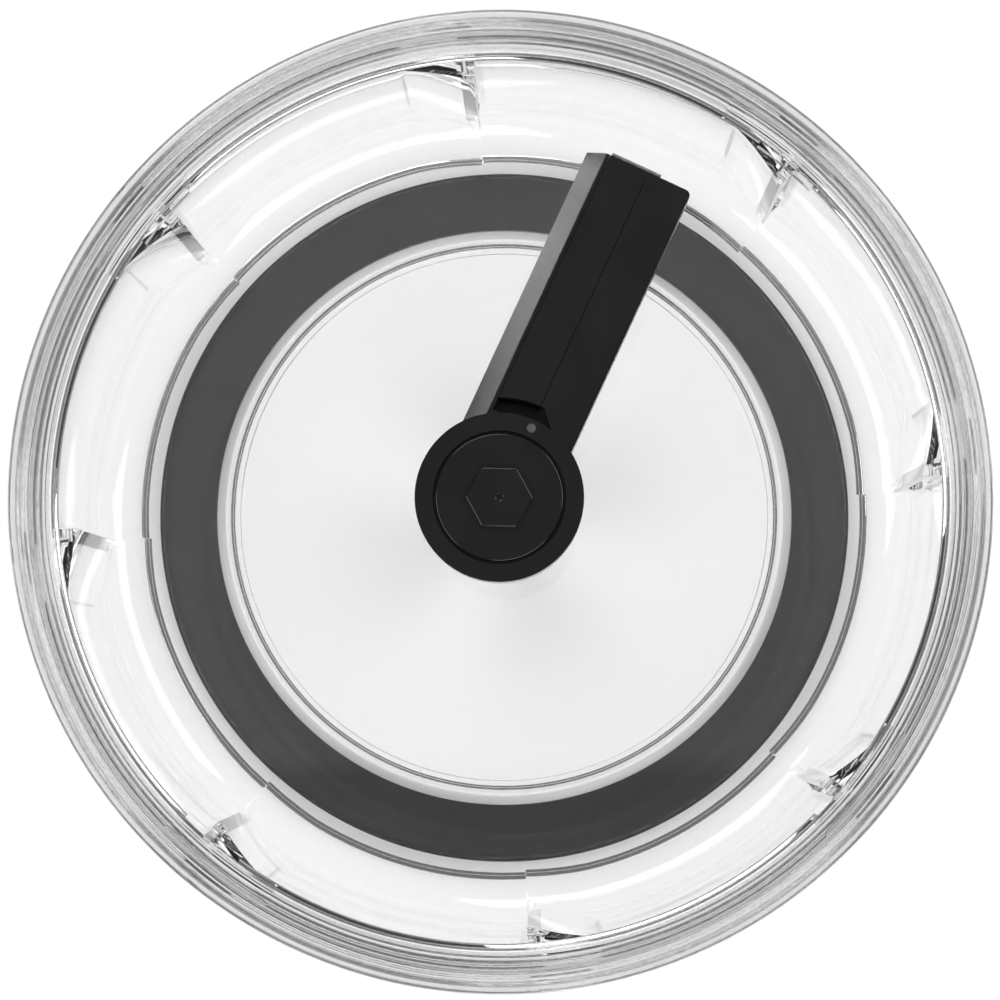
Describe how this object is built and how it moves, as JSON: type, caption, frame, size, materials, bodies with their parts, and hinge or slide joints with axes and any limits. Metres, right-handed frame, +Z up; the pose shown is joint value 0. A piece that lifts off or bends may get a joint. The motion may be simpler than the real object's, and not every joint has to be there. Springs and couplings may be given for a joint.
{
  "type": "salad spinner",
  "caption": "Clear salad spinner: a finned bowl spins on a fixed non-slip base, driven by a crank with a fold-flat grip on its keyed lid.",
  "frame": {"origin": "middle of the foot ring's underside, on the axis that the bowl turns about", "axes": "+Z up along the bowl's axis; the folded crank arm lies 65.2 degrees round from +X towards +Y"},
  "size_m": [0.26, 0.26, 0.162],
  "materials": {
    "clear_plastic": "polished clear plastic",
    "black_plastic": "fine satin moulded black plastic",
    "black_silicone": "smooth black silicone",
    "steel": "turned stainless steel",
    "spring_steel": "spring steel strip",
    "white_acetal": "turned acetal",
    "brass": "knurled brass"
  },
  "bodies": {
    "base": {"foot_ring": "black_silicone", "base_plate": "clear_plastic", "spindle": "steel", "spindle_nut": "steel", "spindle_washer": "spring_steel", "thrust_washer": "white_acetal", "retaining_clip": "spring_steel"},
    "bowl": {"bowl": "clear_plastic", "bearing_housing": "clear_plastic", "lower_bush": "white_acetal", "upper_bush": "white_acetal", "spindle_cap": "clear_plastic", "cap_seal": "black_silicone"},
    "lid": {"lid": "clear_plastic", "crank_arm": "black_plastic", "hub_cap": "black_plastic", "hub_insert": "brass", "hub_screw": "steel", "screw_washer": "steel", "hub_gasket": "black_silicone", "locating_pin": "black_plastic", "hinge_pin": "steel", "pin_plug": "black_plastic", "friction_washer": "spring_steel"},
    "grip": {"grip_body": "black_plastic", "grip_cover": "black_plastic", "grip_screws": "steel", "hinge_bush": "white_acetal"}
  },
  "joints": [
    {"name": "bowl_spin", "type": "hinge", "parent": "base", "child": "bowl", "pos_m": [0, 0, 0.025], "axis": [0, 0, 1], "continuous": true},
    {"name": "lid_lift", "type": "slide", "parent": "bowl", "child": "lid", "axis": [0, 0, 1], "range_m": [0, 0.15]},
    {"name": "grip_fold", "type": "hinge", "parent": "lid", "child": "grip", "pos_m": [0.03649, 0.07898, 0.149], "axis": [-0.9078, 0.4195, 0], "range_deg": [0, 90]}
  ]
}
